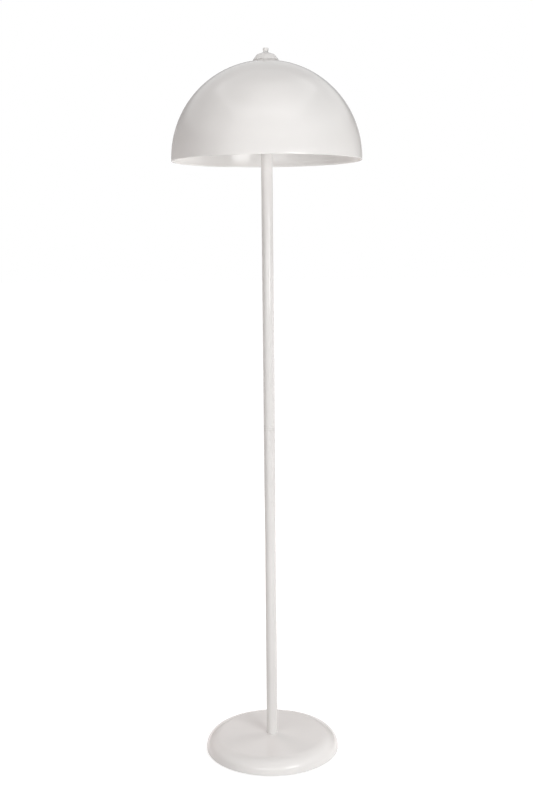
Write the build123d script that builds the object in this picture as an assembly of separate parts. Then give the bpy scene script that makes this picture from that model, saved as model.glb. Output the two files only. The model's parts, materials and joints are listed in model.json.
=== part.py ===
from build123d import *
import math
import os

# Mushroom floor lamp: a domed shade over two horizontal bulbs, a two-piece tube pole and a
# round weighted base. Millimetres, +Z up. The origin is the centre of the base on the floor.
# The front is -Y and the supply lead comes in at the rear, +Y.

# ---------------------------------------------------------------- base
base_radius = 147.3
base_height = 32.5          # floor to the flat top of the cover
base_wall = 1.2             # pressed steel cover
shoulder_run = 31.0         # how far the rounded shoulder reaches in from the side
shoulder_start = 4.5        # top of the upright edge under the shoulder
cover_edge_gap = 1.5        # floor to the cover's lower edge
pad_thickness = 2.0
pad_inset = 7.0             # pad's edge in from the cover's side
weight_thickness = 16.0
weight_clearance = 2.5      # iron to the inside of the cover
boss_radius = 30.0          # raised middle that the cover is clamped to
recess_radius = 17.0        # pocket under the boss for the nut and washers
recess_roof = 7.3           # iron left between the pocket and the cover
channel_width = 12.0        # wiring groove from the pocket to the rear edge
channel_depth = 13.5

# ---------------------------------------------------------------- pole
pole_radius = 12.0
pole_wall = 1.5
lower_pole_length = 691.7
lower_flange = 4.5          # visible collar on the lower joint bush
upper_flange = 4.7          # visible collar on the upper joint bush
upper_pole_length = 651.6
bush_plug_length = 25.0     # part of a bush inside its tube
spigot_radius = 7.0         # screwed spigot that joins the two pole halves
spigot_length = 18.0
top_flange = 3.0
lead_hole_radius = 4.5
edge_break = 0.3            # small chamfer on turned edges

# ---------------------------------------------------------------- screwed parts
m10_radius = 5.0
m10_bore_radius = 3.4       # lead way through a hollow M10 nipple
thread_gap = 0.05           # plain rod to plain hole where the real parts are threaded
hole_gap = 0.3              # rod through a clearance hole
m10_nut_flats = 14.0        # across flats, thin lamp nut
m10_nut_height = 4.0
base_nut_flats = 16.0
base_nut_height = 5.0
base_washer_radius = 14.0
base_washer_height = 2.0
lock_washer_radius = 8.5
lock_washer_height = 1.2
nipple_engagement = 20.0    # base nipple inside the foot bush
nipple_overhang = 0.8       # base nipple below its nut

# ---------------------------------------------------------------- lead and its connections
lead_radius = 1.6
lead_height = 6.5           # height of the run under the weight
lead_entry = 1.5            # how far up the nipple the lead's bend ends
inlet_height = 9.0
inlet_bore_radius = 3.4
inlet_neck_radius = 5.0
inlet_sleeve_radius = 5.7
inlet_flange_radius = 7.0
inlet_flange_thickness = 2.0
inlet_flange_easing = 0.8
inlet_length = 12.0
terminal_length = 16.0
terminal_width = 11.0
terminal_height = 9.0
terminal_setback = 23.0     # rear face of the terminal in from the cover's side
terminal_hole_radius = 1.7
terminal_pitch = 5.2
terminal_screw_radius = 1.5

# ---------------------------------------------------------------- wiring hub
hub_radius = 16.0
hub_height = 24.0
hub_wall = 2.5
hub_floor = 3.0
hub_lid_thickness = 3.0
hub_spigot_depth = 4.0      # lid's ring inside the hub
hub_spigot_wall = 2.0
hub_flat_depth = 1.0        # milled seats for the arms, in from the hub's side
arm_height = 12.5           # arm axis above the hub's underside

# ---------------------------------------------------------------- lampholders and bulbs
arm_nut_height = 3.0
holder_wall = 2.0
holder_air = 3.6            # between the screw shell and the barrel
holder_length = 55.0
holder_boss_radius = 8.5
holder_boss_length = 5.0
holder_slope = 11.0         # length of the rear cap's conical shoulder
holder_cap_skirt = 4.0
holder_collar = 1.0         # how far the joint collar stands out
holder_collar_width = 4.0
holder_lip = 5.0            # depth of the mouth ring
holder_lip_play = 1.2       # mouth ring to the screw shell
insert_start = 3.0          # ceramic insert behind the cap joint
insert_thickness = 7.0
insert_boss_radius = 8.0
insert_boss_height = 2.0
centre_contact_radius = 3.0
centre_contact_thickness = 0.8
screw_shell_wall = 0.5
bulb_cap_radius = 13.0      # E27
bulb_cap_length = 21.5
bulb_cap_wall = 0.4
bulb_play = 0.4             # bulb cap inside the screw shell
bulb_contact_gap = 0.3
bulb_button_radius = 4.8
bulb_button_height = 1.2
bulb_insulator_height = 3.2
bulb_neck_gap = 0.1         # glass inside the cap
bulb_neck_inside = 7.0      # glass held inside the cap
bulb_globe_radius = 22.5
bulb_length = 75.4          # overall, contact to crown
bulb_glass_wall = 1.0

# ---------------------------------------------------------------- shade
shade_radius = 200.0
shade_wall = 1.0
rim_band = 4.0              # straight band under the dome
hem_height = 5.0            # rolled edge, folded inwards
hem_thickness = 2.4
land_radius = 20.0          # flat top where the shade is clamped
stem_reach = 82.0           # hub lid to the underside of the shade
seat_inset = 2.0            # seat's edge in from the shade's flat land
seat_thickness = 2.5
seat_boss_radius = 9.0
seat_boss_height = 3.5

# ---------------------------------------------------------------- cap and finial
ring_radius = 27.6
ring_hole_radius = 9.0
ring_thickness = 1.3        # over the flat top
cap_lip = 0.6               # ring's edge beyond the cap
cap_waist_inset = 4.3       # in from the cap's lower edge
cap_waist_height = 6.6
cap_shoulder_inset = 7.8
cap_shoulder_height = 12.5
cap_top_radius = 5.6
cap_height = 16.7
cap_wall = 1.2
cap_waist_fillet = 14.0
cap_shoulder_fillet = 3.0
stud_radius = 3.0           # M6 end of the stem
stud_length = 7.0           # thread above the washer
washer_inset = 0.3          # washer's edge in from the knob
washer_thickness = 0.8
knob_radius = 5.9
knob_height = 7.9
knob_foot_inset = 0.8
knob_foot_height = 1.4
knob_rounding = 0.9
knob_bore_play = 0.5        # empty end of the knob's tapped hole

# ---------------------------------------------------------------- heights worked out from these
pole_foot = base_height
joint_bottom = pole_foot + lower_pole_length
joint_middle = joint_bottom + lower_flange
joint_top = joint_middle + upper_flange
pole_top = joint_top + upper_pole_length
hub_bottom = pole_top + top_flange
hub_top = hub_bottom + hub_height
lid_top = hub_top + hub_lid_thickness
arm_z = hub_bottom + arm_height
seat_top = lid_top + stem_reach
land_top = seat_top + shade_wall
dome_z = land_top - math.sqrt(shade_radius**2 - land_radius**2)
rim_z = dome_z - rim_band
ring_top = land_top + ring_thickness
cap_top = ring_top + cap_height
washer_top = cap_top + washer_thickness
stud_top = washer_top + stud_length
tube_bore = pole_radius - pole_wall
seat_radius = land_radius - seat_inset
cap_base_radius = ring_radius - cap_lip
washer_radius = knob_radius - washer_inset
weight_top = pad_thickness + weight_thickness
boss_top = base_height - base_wall
recess_top = boss_top - recess_roof
nut_bottom = recess_top - base_washer_height - lock_washer_height - base_nut_height
nipple_bottom = nut_bottom - nipple_overhang
lead_bend_radius = nipple_bottom + lead_entry - lead_height

# Radii about each arm's axis
screw_shell_radius = bulb_cap_radius + bulb_play + screw_shell_wall
holder_inside = screw_shell_radius + holder_air
holder_radius = holder_inside + holder_wall
bulb_neck_radius = bulb_cap_radius - bulb_cap_wall - bulb_neck_gap

# Distances out from the lamp's axis along each arm
hub_flat = hub_radius - hub_flat_depth
holder_start = hub_flat + arm_nut_height
slope_end = holder_start + holder_boss_length + holder_slope
holder_joint = slope_end + holder_cap_skirt
holder_end = holder_start + holder_length
insert_back = holder_joint + insert_start
insert_front = insert_back + insert_thickness
contact_front = insert_front + insert_boss_height + centre_contact_thickness
shell_end = holder_end - holder_lip - hole_gap
bulb_start = contact_front + bulb_contact_gap
bulb_insulator_start = bulb_start + bulb_button_height
bulb_cap_start = bulb_insulator_start + bulb_insulator_height
bulb_cap_end = bulb_cap_start + bulb_cap_length
globe_centre = bulb_start + bulb_length - bulb_globe_radius


# ---------------------------------------------------------------- shapes used more than once
def turn(outline):
    """Revolve a closed outline of (radius, height) about Z."""
    return revolve(Plane.XZ * make_face(outline), Axis.Z)


def turned(*corners):
    """A turned solid from the (radius, height) corners of its half section."""
    return turn(Polyline(*corners, close=True))


def ring(outer, inner, bottom, top):
    """A plain tube, or a plain bar when inner is 0."""
    return turned((inner, bottom), (outer, bottom), (outer, top), (inner, top))


def eased_ring(outer, inner, bottom, top):
    """A tube whose two outer edges are chamfered."""
    return turned(
        (inner, bottom),
        (outer - edge_break, bottom),
        (outer, bottom + edge_break),
        (outer, top - edge_break),
        (outer - edge_break, top),
        (inner, top),
    )


def hex_nut(flats, hole_radius, bottom, height):
    """A hexagonal nut on the Z axis."""
    hexagon = RegularPolygon(flats / 2, 6, major_radius=False)
    blank = Pos(0, 0, bottom) * extrude(hexagon, height)
    return blank - ring(hole_radius, 0, bottom - 1, bottom + height + 1)


def sideways(side, piece):
    """Lay a piece made along Z out along one arm: side is 1 for +X and -1 for -X."""
    return Pos(0, 0, arm_z) * Rot(0, 90 * side, 0) * piece


def both_arms(piece):
    """The same piece on the left and the right arm."""
    return sideways(1, piece) + sideways(-1, piece)


def save(name, piece):
    export_step(piece, f"parts/{name}.step")


# ---------------------------------------------------------------- base
def cover_inside_radius(z):
    """Radius of the cover's inner surface at a height on its shoulder."""
    rise = (z - shoulder_start) / (base_height - base_wall - shoulder_start)
    reach = shoulder_run - base_wall
    return base_radius - shoulder_run + reach * math.sqrt(1 - max(rise, 0) ** 2)


def cover_outside_radius(z):
    """Radius of the cover's outer surface at a height on its shoulder."""
    rise = (z - shoulder_start) / (base_height - shoulder_start)
    return base_radius - shoulder_run + shoulder_run * math.sqrt(1 - max(rise, 0) ** 2)


def cover_form(inset):
    """Solid form of the cover's outside, or of its inside when inset by the wall."""
    centre = (base_radius - shoulder_run, shoulder_start)
    side = base_radius - inset
    top = base_height - inset
    outline = Curve() + [
        Line((0, cover_edge_gap), (side, cover_edge_gap)),
        Line((side, cover_edge_gap), (side, shoulder_start)),
        EllipticalCenterArc(centre, shoulder_run - inset, top - shoulder_start, arc_size=90),
        Line((centre[0], top), (0, top)),
        Line((0, top), (0, cover_edge_gap)),
    ]
    return turn(outline)


def base_cover():
    """Pressed cover: flat top, elliptical shoulder, short upright edge and two holes."""
    shell = cover_form(0) - cover_form(base_wall)
    nipple_hole = Pos(0, 0, base_height) * Cylinder(m10_radius + hole_gap, 4 * base_wall)
    neck_hole = Cylinder(inlet_neck_radius, 4 * weight_clearance)
    at_inlet = Pos(0, base_radius, inlet_height) * Rot(90, 0, 0)
    return shell - nipple_hole - at_inlet * neck_hole


def base_weight():
    """Cast iron disc with a raised boss, a nut pocket and a wiring channel underneath."""
    low_radius = cover_inside_radius(shoulder_start) - weight_clearance
    high_radius = cover_inside_radius(weight_top) - weight_clearance
    bore = m10_radius + hole_gap
    iron = turned(
        (recess_radius, pad_thickness),
        (low_radius, pad_thickness),
        (low_radius, shoulder_start),
        (high_radius, weight_top),
        (boss_radius, weight_top),
        (boss_radius, boss_top),
        (bore, boss_top),
        (bore, recess_top),
        (recess_radius, recess_top),
    )
    channel = Box(
        channel_width, base_radius, channel_depth, align=(Align.CENTER, Align.MIN, Align.MIN)
    )
    return iron - Pos(0, 0, pad_thickness) * channel


def base_pad():
    """Flat pad that covers the underside and meets the floor."""
    return ring(base_radius - pad_inset, 0, 0, pad_thickness)


def base_nipple():
    return ring(m10_radius, m10_bore_radius, nipple_bottom, pole_foot + nipple_engagement)


def base_washer():
    return ring(
        base_washer_radius, m10_radius + hole_gap, recess_top - base_washer_height, recess_top
    )


def base_lock_washer():
    """Split spring washer between the flat washer and the nut."""
    top = recess_top - base_washer_height
    washer = ring(lock_washer_radius, m10_radius + hole_gap, top - lock_washer_height, top)
    split = Pos(0, -lock_washer_radius, top) * Rot(0, 20, 0) * Box(1.5, 12, 6)
    return washer - split


def base_nut():
    return hex_nut(base_nut_flats, m10_radius + thread_gap, nut_bottom, base_nut_height)


def cord_inlet_bush():
    """Grommet in the cover's rear hole, moulded to both faces of the sloping sheet."""
    outside = cover_outside_radius(inlet_height)
    end = outside + inlet_flange_thickness
    start = end - inlet_length
    placed = Pos(0, 0, inlet_height) * Rot(-90, 0, 0)
    flange = turned(
        (inlet_bore_radius, outside - inlet_flange_radius),
        (inlet_flange_radius, outside - inlet_flange_radius),
        (inlet_flange_radius, end - inlet_flange_easing),
        (inlet_flange_radius - inlet_flange_easing, end),
        (inlet_bore_radius, end),
    )
    sleeve = turned(
        (inlet_bore_radius, start),
        (inlet_sleeve_radius - inlet_flange_easing, start),
        (inlet_sleeve_radius, start + inlet_flange_easing),
        (inlet_sleeve_radius, outside),
        (inlet_bore_radius, outside),
    )
    return (placed * flange - cover_form(0)) + (placed * sleeve - base_cover())


def terminal_place():
    """Centre of the terminal block in the channel."""
    y = base_radius - terminal_setback - terminal_length / 2
    return Pos(0, y, lead_height)


def terminal_screw_places():
    """Screws over both ends of the two conductor ways."""
    return GridLocations(terminal_pitch, terminal_length / 2, 2, 2)


def cord_terminal():
    """Two-way terminal block where the supply lead meets the inner lead."""
    block = Box(terminal_width, terminal_length, terminal_height)
    depth = terminal_height / 2
    for way in (-1, 1):
        conductor = Rot(90, 0, 0) * Cylinder(terminal_hole_radius, 2 * terminal_length)
        block -= Pos(way * terminal_pitch / 2, 0, 0) * conductor
    for place in terminal_screw_places():
        screw_hole = Cylinder(
            terminal_screw_radius, depth, align=(Align.CENTER, Align.CENTER, Align.MAX)
        )
        block -= place * screw_hole
    return terminal_place() * block


def terminal_screws():
    """Four screws, with slotted heads just inside the block's underside."""
    top = -terminal_hole_radius
    length = terminal_height / 2 - terminal_hole_radius - edge_break
    screw = Pos(0, 0, top - length / 2) * Cylinder(terminal_screw_radius - thread_gap, length)
    slot = Pos(0, 0, top - length) * Box(2 * terminal_screw_radius, 0.5, 1.0)
    screw -= slot
    return Part() + [
        terminal_place() * place * screw for place in terminal_screw_places()
    ]


# ---------------------------------------------------------------- pole
def lower_pole():
    return eased_ring(pole_radius, tube_bore, pole_foot, joint_bottom)


def upper_pole():
    return eased_ring(pole_radius, tube_bore, joint_top, pole_top)


def foot_bush():
    """Threaded plug flush with the lower end of the pole."""
    return ring(tube_bore, m10_radius + thread_gap, pole_foot, pole_foot + bush_plug_length)


def lower_joint_bush():
    """Plug in the lower tube with a visible collar and a threaded socket."""
    bore = spigot_radius + thread_gap
    return turned(
        (bore, joint_bottom - bush_plug_length),
        (tube_bore, joint_bottom - bush_plug_length),
        (tube_bore, joint_bottom),
        (pole_radius - edge_break, joint_bottom),
        (pole_radius, joint_bottom + edge_break),
        (pole_radius, joint_middle - edge_break),
        (pole_radius - edge_break, joint_middle),
        (bore, joint_middle),
    )


def upper_joint_bush():
    """Plug in the upper tube with a visible collar and a spigot that screws downwards."""
    return turned(
        (lead_hole_radius, joint_middle - spigot_length),
        (spigot_radius, joint_middle - spigot_length),
        (spigot_radius, joint_middle),
        (pole_radius - edge_break, joint_middle),
        (pole_radius, joint_middle + edge_break),
        (pole_radius, joint_top - edge_break),
        (pole_radius - edge_break, joint_top),
        (tube_bore, joint_top),
        (tube_bore, joint_top + bush_plug_length),
        (lead_hole_radius, joint_top + bush_plug_length),
    )


def pole_top_bush():
    """Threaded plug with a flange that carries the wiring hub."""
    bore = m10_radius + thread_gap
    return turned(
        (bore, pole_top - bush_plug_length),
        (tube_bore, pole_top - bush_plug_length),
        (tube_bore, pole_top),
        (pole_radius - edge_break, pole_top),
        (pole_radius, pole_top + edge_break),
        (pole_radius, hub_bottom - edge_break),
        (pole_radius - edge_break, hub_bottom),
        (bore, hub_bottom),
    )


# ---------------------------------------------------------------- wiring hub and stem
def milled_flats(piece):
    """Cut the two flat seats for the arms into a piece of the hub."""
    keep = Pos(0, 0, hub_bottom) * Box(
        2 * hub_flat,
        4 * hub_radius,
        2 * (hub_height + hub_lid_thickness),
        align=(Align.CENTER, Align.CENTER, Align.CENTER),
    )
    return piece & keep


def hub_body():
    """Turned cup with flats and bores for the two arms and the pole nipple."""
    bore = m10_radius + thread_gap
    cavity = hub_radius - hub_wall
    cup = turned(
        (bore, hub_bottom),
        (hub_radius - edge_break, hub_bottom),
        (hub_radius, hub_bottom + edge_break),
        (hub_radius, hub_top),
        (cavity, hub_top),
        (cavity, hub_bottom + hub_floor),
        (bore, hub_bottom + hub_floor),
    )
    arm_bore = Pos(0, 0, arm_z) * Rot(0, 90, 0) * Cylinder(bore, 4 * hub_radius)
    return milled_flats(cup) - arm_bore


def hub_lid():
    """Lid with a locating ring that drops into the hub."""
    bore = m10_radius + thread_gap
    spigot = hub_radius - hub_wall - thread_gap
    lid = turned(
        (bore, hub_top),
        (spigot - hub_spigot_wall, hub_top),
        (spigot - hub_spigot_wall, hub_top - hub_spigot_depth),
        (spigot, hub_top - hub_spigot_depth),
        (spigot, hub_top),
        (hub_radius, hub_top),
        (hub_radius, lid_top - 1.0),
        (hub_radius - 1.0, lid_top),
        (bore, lid_top),
    )
    return milled_flats(lid)


def hub_nipple():
    """Hollow nipple from the pole's top bush through the hub floor."""
    top = hub_bottom + hub_floor + m10_nut_height + 1.0
    return ring(m10_radius, m10_bore_radius, pole_top - bush_plug_length + 5.0, top)


def hub_nut():
    return hex_nut(
        m10_nut_flats, m10_radius + thread_gap, hub_bottom + hub_floor, m10_nut_height
    )


def stem_nuts():
    """Two nuts that clamp the lid to the foot of the stem."""
    below = hex_nut(m10_nut_flats, m10_radius + thread_gap, hub_top - m10_nut_height, m10_nut_height)
    above = hex_nut(m10_nut_flats, m10_radius + thread_gap, lid_top, m10_nut_height)
    return below + above


def shade_stem():
    """Solid rod from the lid to the top, stepped down to a thinner stud for the knob."""
    step = land_top + ring_thickness
    return turned(
        (0, hub_top - m10_nut_height - 1.0),
        (m10_radius, hub_top - m10_nut_height - 1.0),
        (m10_radius, step - 1.0),
        (m10_radius - 1.0, step),
        (stud_radius, step),
        (stud_radius, stud_top - 0.6),
        (stud_radius - 0.6, stud_top),
        (0, stud_top),
    )


def shade_seat():
    """Flanged disc, tapped on to the stem, that the shade's flat top rests on."""
    bore = m10_radius + thread_gap
    flange_bottom = seat_top - seat_thickness
    return turned(
        (bore, flange_bottom - seat_boss_height),
        (seat_boss_radius, flange_bottom - seat_boss_height),
        (seat_boss_radius, flange_bottom),
        (seat_radius - edge_break, flange_bottom),
        (seat_radius, flange_bottom + edge_break),
        (seat_radius, seat_top - edge_break),
        (seat_radius - edge_break, seat_top),
        (bore, seat_top),
    )


def seat_nut():
    top = seat_top - seat_thickness - seat_boss_height
    return hex_nut(m10_nut_flats, m10_radius + thread_gap, top - m10_nut_height, m10_nut_height)


# ---------------------------------------------------------------- lampholders, made along Z
def arm_nipple():
    inner_end = hub_flat - hub_wall - 1.5
    outer_end = holder_start + holder_boss_length + 2.0
    return ring(m10_radius, m10_bore_radius, inner_end, outer_end)


def arm_nut():
    return hex_nut(m10_nut_flats, m10_radius + thread_gap, hub_flat, arm_nut_height)


def lampholder_cap():
    """Rear half of a lampholder: threaded boss, conical shoulder and skirt."""
    bore = m10_radius + thread_gap
    slope_start = holder_start + holder_boss_length
    return turned(
        (bore, holder_start),
        (holder_boss_radius - edge_break, holder_start),
        (holder_boss_radius, holder_start + edge_break),
        (holder_boss_radius, slope_start),
        (holder_radius - holder_wall, slope_end - holder_wall),
        (holder_radius, slope_end),
        (holder_radius, holder_joint),
        (holder_inside, holder_joint),
        (holder_inside, slope_end),
        (holder_boss_radius, slope_start + holder_wall),
        (bore, slope_start + holder_wall),
    )


def lampholder_body():
    """Front half of a lampholder: joint collar, plain barrel and inward lip."""
    mouth = screw_shell_radius + holder_lip_play
    return turned(
        (holder_inside, holder_joint),
        (holder_radius + holder_collar, holder_joint),
        (holder_radius + holder_collar, holder_joint + holder_collar_width),
        (holder_radius, holder_joint + holder_collar_width + holder_collar),
        (holder_radius, holder_end - 1.0),
        (holder_radius - 1.0, holder_end),
        (mouth, holder_end),
        (mouth, holder_end - holder_lip),
        (holder_inside, holder_end - holder_lip),
    )


def contact_insert():
    """Ceramic disc with a boss for the centre contact."""
    return turned(
        (0, insert_back),
        (holder_inside, insert_back),
        (holder_inside, insert_front),
        (insert_boss_radius, insert_front),
        (insert_boss_radius, insert_front + insert_boss_height),
        (0, insert_front + insert_boss_height),
    )


def centre_contact():
    return ring(centre_contact_radius, 0, insert_front + insert_boss_height, contact_front)


def screw_shell():
    inner = screw_shell_radius - screw_shell_wall
    return ring(screw_shell_radius, inner, insert_front, shell_end)


# ---------------------------------------------------------------- bulbs, made along Z
def bulb_contact():
    """Centre contact and its insulating cone."""
    return turned(
        (0, bulb_start),
        (bulb_button_radius - edge_break, bulb_start),
        (bulb_button_radius, bulb_start + edge_break),
        (bulb_button_radius, bulb_insulator_start),
        (bulb_cap_radius - 2.0, bulb_cap_start),
        (0, bulb_cap_start),
    )


def bulb_cap():
    """Metal cap: a thin cup that holds the neck of the glass."""
    inner = bulb_cap_radius - bulb_cap_wall
    lip = bulb_cap_radius - 5.0
    return turned(
        (lip, bulb_cap_start),
        (bulb_cap_radius - 1.0, bulb_cap_start),
        (bulb_cap_radius, bulb_cap_start + 1.0),
        (bulb_cap_radius, bulb_cap_end),
        (inner, bulb_cap_end),
        (inner, bulb_cap_start + 1.4),
        (lip, bulb_cap_start + 1.4),
    )


def bulb_glass():
    """Hollow globe whose neck flows in through one concave curve."""
    rise = globe_centre - bulb_cap_end
    spread = bulb_globe_radius**2 - bulb_neck_radius**2
    sweep_radius = (rise**2 - spread) / (2 * (bulb_globe_radius - bulb_neck_radius))
    sweep_centre = (bulb_neck_radius + sweep_radius, bulb_cap_end)
    slant = math.degrees(math.atan2(rise, sweep_centre[0]))
    neck_start = bulb_cap_end - bulb_neck_inside
    edges = []
    for skin in (0, bulb_glass_wall):
        neck = bulb_neck_radius - skin
        edges += [
            Line((neck, neck_start), (neck, bulb_cap_end)),
            CenterArc(sweep_centre, sweep_radius + skin, 180, -slant),
            CenterArc((0, globe_centre), bulb_globe_radius - skin, -slant, 90 + slant),
        ]
    crown = globe_centre + bulb_globe_radius
    edges.append(Line((0, crown), (0, crown - bulb_glass_wall)))
    edges.append(
        Line((bulb_neck_radius, neck_start), (bulb_neck_radius - bulb_glass_wall, neck_start))
    )
    return turn(Curve() + edges)


# ---------------------------------------------------------------- shade, cap and finial
def shade():
    """Spun dome with a flat clamped top, a straight rim band and an inward rolled hem."""
    inner_sphere = shade_radius - shade_wall
    hem_radius = shade_radius - hem_thickness
    hem_round = hem_thickness / 2
    hem_top = rim_z + hem_height
    land_bottom = land_top - shade_wall
    hole = m10_radius + hole_gap
    outer_land = math.degrees(math.asin((land_top - dome_z) / shade_radius))
    inner_land = math.degrees(math.asin((land_bottom - dome_z) / inner_sphere))
    hem_angle = math.degrees(math.asin((hem_top - dome_z) / inner_sphere))
    inner_land_radius = inner_sphere * math.cos(math.radians(inner_land))
    hem_step_radius = inner_sphere * math.cos(math.radians(hem_angle))
    outline = Curve() + [
        Line((hole, land_top), (land_radius, land_top)),
        CenterArc((0, dome_z), shade_radius, 0, outer_land),
        Line((shade_radius, dome_z), (shade_radius, rim_z + hem_round)),
        CenterArc((shade_radius - hem_round, rim_z + hem_round), hem_round, 180, 180),
        Line((hem_radius, rim_z + hem_round), (hem_radius, hem_top)),
        Line((hem_radius, hem_top), (hem_step_radius, hem_top)),
        CenterArc((0, dome_z), inner_sphere, hem_angle, inner_land - hem_angle),
        Line((inner_land_radius, land_bottom), (hole, land_bottom)),
        Line((hole, land_bottom), (hole, land_top)),
    ]
    return turn(outline)


def cap_ring():
    """Ring that fits the dome under the cap and shows as a thin lip."""
    edge_angle = math.degrees(math.acos(ring_radius / shade_radius))
    land_angle = math.degrees(math.acos(land_radius / shade_radius))
    edge_z = dome_z + math.sqrt(shade_radius**2 - ring_radius**2)
    outline = Curve() + [
        Line((ring_hole_radius, land_top), (land_radius, land_top)),
        CenterArc((0, dome_z), shade_radius, edge_angle, land_angle - edge_angle),
        Line((ring_radius, edge_z), (ring_radius, ring_top - edge_break)),
        Line((ring_radius, ring_top - edge_break), (ring_radius - edge_break, ring_top)),
        Line((ring_radius - edge_break, ring_top), (ring_hole_radius, ring_top)),
        Line((ring_hole_radius, ring_top), (ring_hole_radius, land_top)),
    ]
    return turn(outline)


def cap_skin(inset):
    """Line of the cap's outside, or of its inside when inset, from the top down."""
    top = cap_top - inset
    base = cap_base_radius - inset
    corners = (
        (cap_top_radius, top),
        (base - cap_shoulder_inset, top - cap_height + cap_shoulder_height),
        (base - cap_waist_inset, ring_top + cap_waist_height - inset / 2),
        (base, ring_top),
    )
    radii = [cap_shoulder_fillet - inset, cap_waist_fillet - inset]
    return FilletPolyline(*corners, radius=radii)


def shade_cap():
    """Bell-shaped sheet cap: flared skirt, rounded shoulder and shallow conical top."""
    hole = stud_radius + hole_gap
    inside_top = cap_top - cap_wall
    outline = Curve() + [
        cap_skin(0),
        cap_skin(cap_wall),
        Line((cap_base_radius, ring_top), (cap_base_radius - cap_wall, ring_top)),
        Line((cap_top_radius, cap_top), (hole, cap_top)),
        Line((hole, cap_top), (hole, inside_top)),
        Line((hole, inside_top), (cap_top_radius, inside_top)),
    ]
    return turn(outline)


def finial_washer():
    return ring(washer_radius, stud_radius + hole_gap, cap_top, washer_top)


def finial_knob():
    """Thumb nut: narrow foot, round barrel and a blind tapped hole."""
    top = washer_top + knob_height
    foot = washer_top + knob_foot_height
    foot_radius = knob_radius - knob_foot_inset
    bore = stud_radius + thread_gap
    bore_top = stud_top + knob_bore_play
    crown = (knob_radius - knob_rounding, top - knob_rounding)
    outline = Curve() + [
        Line((bore, washer_top), (foot_radius, washer_top)),
        Line((foot_radius, washer_top), (foot_radius, foot)),
        Line((foot_radius, foot), (knob_radius, foot + knob_foot_inset)),
        Line((knob_radius, foot + knob_foot_inset), (knob_radius, crown[1])),
        CenterArc(crown, knob_rounding, 0, 90),
        Line((crown[0], top), (0, top)),
        Line((0, top), (0, bore_top)),
        Line((0, bore_top), (bore, bore_top)),
        Line((bore, bore_top), (bore, washer_top)),
    ]
    return turn(outline)


# ---------------------------------------------------------------- inner wiring
def pole_lead():
    """Lead from the terminal, under the weight and up the pole to the hub."""
    start = (0, base_radius - terminal_setback - terminal_length, lead_height)
    corner = (0, 0, lead_height)
    end = (0, 0, arm_z - 2 * lead_radius)
    path = FilletPolyline(start, corner, end, radius=lead_bend_radius)
    section = Plane(origin=path @ 0, z_dir=path % 0) * Circle(lead_radius)
    return sweep(section, path)


def holder_lead():
    return ring(lead_radius, 0, 2 * lead_radius, insert_back)


# ---------------------------------------------------------------- write one file for each node
os.makedirs("parts", exist_ok=True)

for build in (
    base_cover,
    base_weight,
    base_pad,
    base_nipple,
    base_washer,
    base_lock_washer,
    base_nut,
    cord_inlet_bush,
    cord_terminal,
    terminal_screws,
    lower_pole,
    foot_bush,
    lower_joint_bush,
    upper_joint_bush,
    upper_pole,
    pole_top_bush,
    hub_body,
    hub_lid,
    hub_nipple,
    hub_nut,
    stem_nuts,
    shade_stem,
    shade_seat,
    seat_nut,
    shade,
    cap_ring,
    shade_cap,
    finial_washer,
    finial_knob,
    pole_lead,
):
    save(build.__name__, build())

for name, build in (
    ("arm_nipples", arm_nipple),
    ("arm_nuts", arm_nut),
    ("lampholder_caps", lampholder_cap),
    ("lampholder_bodies", lampholder_body),
    ("contact_inserts", contact_insert),
    ("centre_contacts", centre_contact),
    ("screw_shells", screw_shell),
    ("holder_leads", holder_lead),
):
    save(name, both_arms(build()))

for side_name, side in (("right", 1), ("left", -1)):
    for build in (bulb_contact, bulb_cap, bulb_glass):
        save(f"{side_name}_{build.__name__}", sideways(side, build()))
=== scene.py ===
"""Mushroom floor lamp: finishes, fine meshes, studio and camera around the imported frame."""

import json
import math

import bmesh
import bpy
from mathutils import Matrix, Vector


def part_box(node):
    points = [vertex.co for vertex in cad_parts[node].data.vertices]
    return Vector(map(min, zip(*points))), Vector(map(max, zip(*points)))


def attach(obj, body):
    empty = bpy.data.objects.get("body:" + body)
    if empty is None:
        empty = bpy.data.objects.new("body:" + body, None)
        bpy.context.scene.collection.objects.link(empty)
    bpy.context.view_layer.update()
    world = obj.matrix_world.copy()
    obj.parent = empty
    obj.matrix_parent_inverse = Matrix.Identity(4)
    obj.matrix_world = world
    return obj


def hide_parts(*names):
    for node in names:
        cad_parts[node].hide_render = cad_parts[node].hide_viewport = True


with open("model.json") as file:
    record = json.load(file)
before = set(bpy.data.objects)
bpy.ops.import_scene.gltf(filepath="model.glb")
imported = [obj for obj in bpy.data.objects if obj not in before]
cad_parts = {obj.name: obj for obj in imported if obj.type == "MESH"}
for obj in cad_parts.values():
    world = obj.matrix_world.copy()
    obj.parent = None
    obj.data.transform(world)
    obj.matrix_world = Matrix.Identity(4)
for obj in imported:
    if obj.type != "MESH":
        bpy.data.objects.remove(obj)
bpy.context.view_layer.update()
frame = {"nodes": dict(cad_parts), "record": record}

MM = 0.001
NODES = frame["nodes"]


# ---------------------------------------------------------------- sizes read from the frame
def bottom(node):
    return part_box(node)[0].z


def top(node):
    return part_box(node)[1].z


def radius(node):
    """Radius of a node turned about the lamp's axis."""
    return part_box(node)[1].x


def reach(node):
    """How far a pair of pieces on the arms, or the right-hand one, reaches from the axis."""
    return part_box(node)[1].x


def girth(node):
    """Radius of a node turned about the arms."""
    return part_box(node)[1].y


ARM_Z = (bottom("screw_shells") + top("screw_shells")) / 2
POLE_RADIUS = radius("lower_pole")
TUBE_BORE = radius("foot_bush")

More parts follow.
